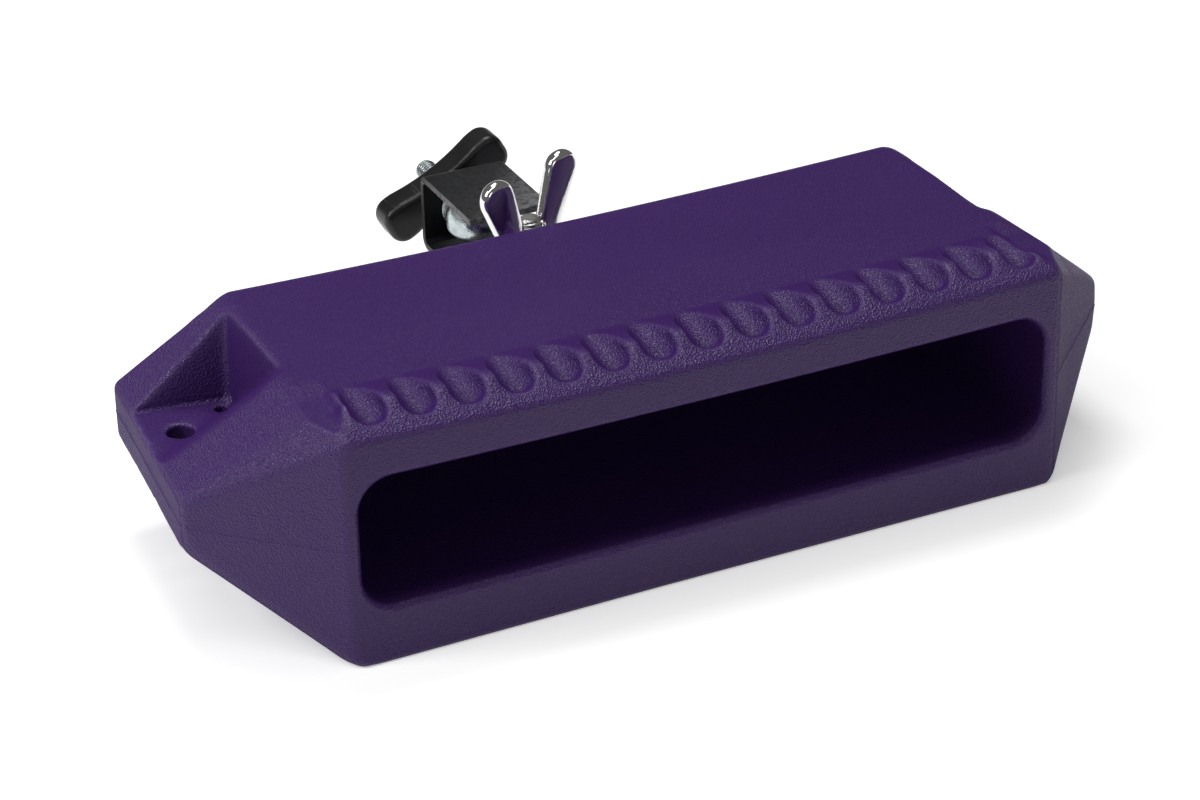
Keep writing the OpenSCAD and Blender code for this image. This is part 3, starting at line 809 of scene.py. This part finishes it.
def makeStrap(s):
    source = nodes["bracket_strap"]
    obj = linkMesh("bentStrap", source.data.copy(), smooth=False)
    obj.matrix_world = source.matrix_world.copy()
    bm = bmesh.new()
    bm.from_mesh(obj.data)
    bmesh.ops.remove_doubles(bm, verts=bm.verts, dist=s["weld"])
    flat = math.radians(s["flatWithin"])
    bmesh.ops.dissolve_limit(bm, angle_limit=flat, verts=bm.verts, edges=bm.edges)
    bm.to_mesh(obj.data)
    bm.free()
    bevel = obj.modifiers.new("edge", "BEVEL")
    bevel.width = s["edge"]
    bevel.segments = s["segments"]
    bevel.limit_method = "ANGLE"
    bevel.angle_limit = math.radians(s["edgeOver"])
    bevel.harden_normals = False
    applyModifiers(obj)
    smoothFaces(obj.data)
    normals = obj.modifiers.new("flat", "WEIGHTED_NORMAL")
    normals.keep_sharp = True
    applyModifiers(obj)
    finishPiece(obj, "woodblock", "bracket_strap", strapPaint)
    print("strap made")


makeStrap(strapSettings)

# bolt that stands in the bracket's foot: domed head, square neck and thread
boltSettings = {
    "y": 88.0, "foot": 34.95, "head": 4.4, "headRadius": 9.5, "domeSteps": 12, "domeEdge": 0.5,
    "rim": ((-0.15, -0.35), (-0.15, -0.12), (-0.4, 0.0)),  # from the head's radius and upper face
    "neck": 4.0, "neckRound": 0.8, "neckSink": 0.2, "neckHigh": 2.5, "thread": (37.2, 69.75), "crease": 40.0,
}


def makeBolt(s):
    bm = bmesh.new()
    threadRod(bm, threadSettings, *s["thread"])
    radius, high, foot = s["headRadius"], s["head"], s["foot"]
    dome = (radius * radius + high * high) / (2 * high)
    low = foot - high
    outline = [(0.0, low)]
    for k in range(1, s["domeSteps"] + 1):
        r = (radius - s["domeEdge"]) * k / s["domeSteps"]
        outline.append((r, low + dome - math.sqrt(dome * dome - r * r)))
    outline += [(radius + out, foot + up) for out, up in s["rim"]] + [(0.0, foot)]
    lathe(bm, outline, steps=72, closed=False)
    half = s["neck"]
    square = [(-half, -half), (half, -half), (half, half), (-half, half)]
    corners = filleted(square, [s["neckRound"]] * 4, steps=3)
    rows = [[bm.verts.new((x * mm, y * mm, z * mm)) for x, y in corners]
            for z in (foot - s["neckSink"], foot + s["neckHigh"])]
    loft(bm, rows)
    closeEnds(bm, rows)
    moveAll(bm, s["y"])
    obj = linkMesh("tabBolt", meshFrom("tabBolt", bm))
    sharpen(obj, s["crease"])
    finishPiece(obj, "woodblock", "carriage_bolt", boltSteel)


makeBolt(boltSettings)

# locating pin, plain washers and the handle's insert: turned pieces with small chamfers
pinSettings = {
    "y": 68.4, "crease": 30.0,
    "outline": [(0, 34.95), (1.8, 34.95), (2.24, 35.3), (2.24, 49.2), (1.7, 50.04), (0, 50.04)],
}
ringSettings = {
    "wingWasher": {"outer": 10.0, "hole": 4.3, "thick": 1.5, "edge": 0.3,
                   "y": 88.0, "z": 51.45, "turn": 0.0},
    "eyeWasher": {"outer": 9.0, "hole": 4.1, "thick": 1.2, "edge": 0.25,
                  "y": 148.2, "z": 49.75, "turn": 90.0},
    "handleWasher": {"outer": 8.0, "hole": 4.3, "thick": 1.6, "edge": 0.3,
                     "y": 152.6, "z": 49.75, "turn": 90.0},
    "insert": {"outer": 5.5, "hole": 4.1, "thick": 14.0, "edge": 0.3,
               "y": 166.9, "z": 49.75, "turn": 90.0},
}
innerEdge = 0.6  # share of the outer edge's round


def makePin(s):
    bm = bmesh.new()
    lathe(bm, s["outline"], steps=48, closed=False)
    moveAll(bm, s["y"])
    obj = linkMesh("tabPin", meshFrom("tabPin", bm))
    sharpen(obj, s["crease"])
    finishPiece(obj, "woodblock", "locating_pin", boltSteel)


def makeRing(name, s, body, node):
    # a turn of 90 degrees makes it run from its y towards the front
    bm = bmesh.new()
    inner, outer, edge = s["hole"], s["outer"], s["edge"]
    lathe(bm, filleted([(inner, 0), (outer, 0), (outer, s["thick"]), (inner, s["thick"])],
                       [edge * innerEdge, edge, edge, edge * innerEdge], steps=3))
    turnAll(bm, s["turn"], "X")
    moveAll(bm, s["y"], s["z"])
    obj = linkMesh(name, meshFrom(name, bm))
    finishPiece(obj, body, node, boltSteel)


makePin(pinSettings)
makeRing("nutWasher", ringSettings["wingWasher"], "washer_rise", "wing_washer")
makeRing("boltWasher", ringSettings["eyeWasher"], "eye_carrier", "eye_washer")
makeRing("knobWasher", ringSettings["handleWasher"], "woodblock", "handle_washer")
makeRing("knobInsert", ringSettings["insert"], "handle", "handle_insert")
print("turned pieces made")

# wing nut with two petal wings, in mm, its voxel in m
wingSettings = {
    "y": 88.0, "foot": 53.25, "hub": 7.5, "skirt": 2.4, "shoulder": 8.0, "shoulderOut": 0.6, "hubTop": 5.6,
    "hubHigh": 13.6, "bore": 4.2, "hubRounds": (0.3, 0.5, 1.2, 3.0, 1.3, 0.4),
    "reach": 17.0, "rootReach": 10.0, "round": 7.0, "rootRound": 5.8, "high": 29.6, "low": 12.0,
    "thick": 5.4, "thinnest": 0.02, "turn": 24.0, "twist": -6.0, "voxel": 0.00032, "softenRounds": 10,
    "rows": 40, "steps": 36, "rowSpan": (0.004, 0.992), "flatness": 1.6, "fullness": 0.8,
}


def wingSpan(s, z):
    # inner and outer edge of a wing at height z: the hull of two circles
    spans = []
    outer = (s["reach"], s["high"], s["round"])
    root = (s["rootReach"], s["low"], s["rootRound"])
    for centre, level, radius in (outer, root):
        if abs(z - level) < radius:
            half = math.sqrt(radius * radius - (z - level) ** 2)
            spans.append((centre - half, centre + half))
    dx, dz = s["reach"] - s["rootReach"], s["high"] - s["low"]
    long = math.hypot(dx, dz)
    lean = math.asin((s["round"] - s["rootRound"]) / long)
    axis = math.atan2(dz, dx)
    for side in (1, -1):
        a = axis + side * (math.pi / 2 + lean)
        low = (s["rootReach"] + s["rootRound"] * math.cos(a), s["low"] + s["rootRound"] * math.sin(a))
        high = (s["reach"] + s["round"] * math.cos(a), s["high"] + s["round"] * math.sin(a))
        if low[1] <= z <= high[1]:
            x = low[0] + (high[0] - low[0]) * (z - low[1]) / (high[1] - low[1])
            spans.append((x, x))
    return min(a for a, b in spans), max(b for a, b in spans)


def makeWing(bm, s, side):
    top, bottom = s["high"] + s["round"], s["low"] - s["rootRound"]
    full = s["thick"] / 2
    first, span = s["rowSpan"]
    rows = []
    for r in range(s["rows"] + 1):
        z = bottom + (top - bottom) * (0.5 - 0.5 * math.cos(math.pi * (first + span * r / s["rows"])))
        inner, outer = wingSpan(s, z)
        middle, half = (inner + outer) / 2, (outer - inner) / 2
        flat = max(0.0, half - full)
        ends = min(z - bottom, top - z)
        thick = full * math.sqrt(max(0.0, 1 - max(0.0, 1 - ends / full) ** 2)) + s["thinnest"]
        share = min(1.0, max(0.0, (z - s["low"]) / (s["high"] - s["low"])))
        twist = math.radians(s["twist"] * share)
        row = []
        for i in range(s["steps"]):
            a = 2 * math.pi * i / s["steps"]
            u = math.copysign(flat * min(1.0, abs(math.cos(a)) * s["flatness"]), math.cos(a))
            u += (half - flat) * math.cos(a)
            v = math.copysign(abs(math.sin(a)) ** s["fullness"], math.sin(a)) * thick
            x = middle + u * math.cos(twist) - v * math.sin(twist)
            y = u * math.sin(twist) + v * math.cos(twist)
            row.append(bm.verts.new((side * x * mm, side * y * mm, z * mm)))
        rows.append(row)
    loft(bm, rows)
    closeEnds(bm, rows)


def makeWingNut(s):
    bm = bmesh.new()
    hub, top = s["hub"], s["hubTop"]
    lathe(bm, filleted([(s["bore"], 0), (hub, 0), (hub, s["skirt"]), (top + s["shoulderOut"], s["shoulder"]),
                        (top, s["hubHigh"]), (s["bore"], s["hubHigh"])], s["hubRounds"], steps=6))
    for side in (1, -1):
        makeWing(bm, s, side)
    turnAll(bm, s["turn"], "Z")
    moveAll(bm, s["y"], s["foot"])
    obj = linkMesh("wingNut", meshFrom("wingNut", bm))
    voxelJoin(obj, s["voxel"], s["softenRounds"])
    finishPiece(obj, "wing_nut", "wing_nut", brightChrome)
    print("wing nut:", len(obj.data.polygons), "faces")


makeWingNut(wingSettings)

# eye bolt: a ring with a round outside and flat faces, on a threaded shank
eyeSettings = {
    "y": 134.7, "z": 49.75, "radius": 11.95, "hole": 6.6, "half": 6.0, "turn": 100.0, "arcSteps": 16,
    "corner": 0.9, "cornerIn": 0.26, "rim": ((-0.8, 0.0), (-0.1, 0.2)), "thread": (11.0, 49.8),
    "crease": 50.0,
}


def makeEyeBolt(s):
    bm = bmesh.new()
    radius, hole, half = s["radius"], s["hole"], s["half"]
    reach = math.asin(half / radius)
    angles = [-reach + 2 * reach * k / s["arcSteps"] for k in range(s["arcSteps"] + 1)]
    arc = [(radius * math.cos(a), radius * math.sin(a)) for a in angles]
    corner, inside = s["corner"], s["cornerIn"]
    lower = [(hole, -half + corner), (hole + inside, -half + inside), (hole + corner, -half)]
    lower += [(arc[0][0] + out, -half + up) for out, up in s["rim"]]
    upper = [(r, -z) for r, z in reversed(lower)]
    lathe(bm, lower + arc[1:-1] + upper)
    turnAll(bm, 90, "Y")
    rod = bmesh.new()
    threadRod(rod, threadSettings, *s["thread"])
    turnAll(rod, -90, "X")
    addForm(bm, rod)
    turnAll(bm, s["turn"], "Y")
    moveAll(bm, s["y"], s["z"])
    obj = linkMesh("eyeBolt", meshFrom("eyeBolt", bm))
    sharpen(obj, s["crease"])
    finishPiece(obj, "eye_bolt", "eye_bolt", zincPlate)
    print("eye bolt made")


makeEyeBolt(eyeSettings)

# T-handle: a waisted bar with a hub towards the bracket, in mm, its voxel in m
handleSettings = {
    "long": 54.5, "wide": 15.6, "waist": 11.6, "waistPart": 3, "corner": 6.0, "cornerSteps": 14,
    "sideSteps": 24, "front": 161.9, "back": 174.9, "start": 152.9, "round": 2.4, "roundSteps": 8,
    "hub": 7.3, "hubIn": 0.6, "hubOver": 2.0, "hubRounds": (0.3, 0.8, 0, 0),
    "hole": 4.3, "holeSpan": (-30, 10), "z": 49.75, "turn": 29.0, "voxel": 0.00045, "softenRounds": 5,
    "crease": 60.0,
}


def barOutline(s):
    half, wide = s["long"] / 2, s["wide"] / 2
    corners = filleted([(half, -wide), (half, wide), (-half, wide), (-half, -wide)],
                       [s["corner"]] * 4, steps=s["cornerSteps"])
    points = []
    for (x, y), (nx, ny) in zip(corners, corners[1:] + corners[:1]):
        # the long sides take more points, for the waist
        steps = s["sideSteps"] if abs(nx - x) > s["corner"] else 1
        for k in range(steps):
            points.append((x + (nx - x) * k / steps, y + (ny - y) * k / steps))
    chord = s["long"] / s["waistPart"]
    cut = (s["wide"] - s["waist"]) / 2
    return np.array([(x, y - math.copysign(cut * max(0.0, 1 - (x / chord) ** 2), y)) for x, y in points])


def makeHandle(s):
    bar = barOutline(s)
    tangent = np.roll(bar, -1, axis=0) - np.roll(bar, 1, axis=0)
    tangent /= np.linalg.norm(tangent, axis=1)[:, None]
    inward = np.stack([-tangent[:, 1], tangent[:, 0]], axis=1)
    bm = bmesh.new()
    rows = []
    angles = np.linspace(0, math.pi / 2, s["roundSteps"])
    profile = [(s["round"] * (1 - math.sin(a)), s["front"] + s["round"] * (1 - math.cos(a))) for a in angles]
    profile += [(s["round"] * (1 - math.cos(a)), s["back"] - s["round"] * (1 - math.sin(a))) for a in angles]
    for inset, y in profile:
        ring = bar + inward * inset
        rows.append([bm.verts.new((x * mm, y * mm, z * mm)) for x, z in ring])
    loft(bm, rows)
    closeEnds(bm, rows)
    hub = bmesh.new()
    hubLong = s["front"] - s["start"] + s["hubOver"]
    outline = [(s["hole"], 0), (s["hub"] - s["hubIn"], 0), (s["hub"], hubLong), (s["hole"], hubLong)]
    lathe(hub, filleted(outline, s["hubRounds"], steps=4), steps=72)
    turnAll(hub, -90, "X")
    moveAll(hub, s["start"])
    addForm(bm, hub)
    obj = linkMesh("handle", meshFrom("handle", bm))
    voxelJoin(obj, s["voxel"], s["softenRounds"])
    low, high = s["holeSpan"]
    cutter = bmesh.new()
    lathe(cutter, [(0, low), (s["hole"], low), (s["hole"], high), (0, high)], steps=64, closed=False)
    turnAll(cutter, 90, "X")
    moveAll(cutter, s["front"])
    cutForm(obj, "cutter", cutter)
    turn = Matrix.Translation((0, 0, s["z"] * mm)) @ Matrix.Rotation(math.radians(-s["turn"]), 4, "Y")
    obj.data.transform(turn)
    smoothFaces(obj.data)
    sharpen(obj, s["crease"])
    finishPiece(obj, "handle", "t_handle", handlePlastic)
    print("handle:", len(obj.data.polygons), "faces")


makeHandle(handleSettings)

# studio light: soft boxes overhead, on the left, behind and in front
lightSettings = {
    "world": 0.14,
    "aim": (0, 0, 0.04),
    "lamps": (  # place and size in m, power in W
        ("topLamp", (-0.2, -0.16, 1.45), (1.4, 0.3), 6.0),
        ("sideLamp", (-1.15, 0.12, 0.95), (0.6, 0.45), 10.5),
        ("backLamp", (0.2, 0.6, 1.7), (0.8, 0.6), 14.5),
        ("frontLamp", (0.15, -2.0, 0.6), (1.0, 0.5), 4.5),
    ),
}


def makeLights(settings):
    for name, place, size, power in settings["lamps"]:
        data = bpy.data.lights.new(name, "AREA")
        data.shape = "RECTANGLE"
        data.size, data.size_y = size
        data.energy = power
        lamp = bpy.data.objects.new(name, data)
        lamp.location = place
        away = (Vector(settings["aim"]) - Vector(place)).normalized()
        across = Vector((1, 0, 0)) - away * away.x
        across.normalize()
        turn = Matrix((across, (-away).cross(across), -away)).transposed()
        lamp.rotation_euler = turn.to_euler()
        bpy.context.scene.collection.objects.link(lamp)
    world = bpy.data.worlds.new("studio")
    bpy.context.scene.world = world
    world.use_nodes = True
    back = world.node_tree.nodes["Background"]
    back.inputs["Color"].default_value = (1, 1, 1, 1)
    back.inputs["Strength"].default_value = settings["world"]


makeLights(lightSettings)

floorSettings = {"half": 6.0, "colour": (0.8, 0.8, 0.8), "rough": 0.9, "glow": 0.4, "glowRise": (0.5, 2.2)}


def seenRays(tree):
    # rays that show the floor as a background: the camera's, and those off gloss and through glass
    path = tree.nodes.new("ShaderNodeLightPath")
    seen = mathNode(tree, "MAXIMUM", path.outputs["Is Camera Ray"], path.outputs["Is Glossy Ray"])
    return mathNode(tree, "MAXIMUM", seen, path.outputs["Is Transmission Ray"])


def makeFloor(settings):
    bm = bmesh.new()
    h = settings["half"]
    bm.faces.new([bm.verts.new((x * h, y * h, 0)) for x, y in ((-1, -1), (1, -1), (1, 1), (-1, 1))])
    obj = linkMesh("floor", meshFrom("floor", bm), smooth=False)
    mat, tree, bsdf = startMaterial("floor", 0.0, 0.0)
    bsdf.inputs["Base Color"].default_value = rgba(settings["colour"])
    bsdf.inputs["Roughness"].default_value = settings["rough"]
    bsdf.inputs["Emission Color"].default_value = (1, 1, 1, 1)
    # the floor stays white where the lamps no longer reach
    away = tree.nodes.new("ShaderNodeVectorMath")
    away.operation = "LENGTH"
    tree.links.new(tree.nodes.new("ShaderNodeTexCoord").outputs["Object"], away.inputs[0])
    glow = spread(tree, away.outputs["Value"], *settings["glowRise"], settings["glow"], 1.0)
    tree.links.new(mathNode(tree, "MULTIPLY", seenRays(tree), glow), bsdf.inputs["Emission Strength"])
    obj.data.materials.append(mat)


makeFloor(floorSettings)
print("stage set")
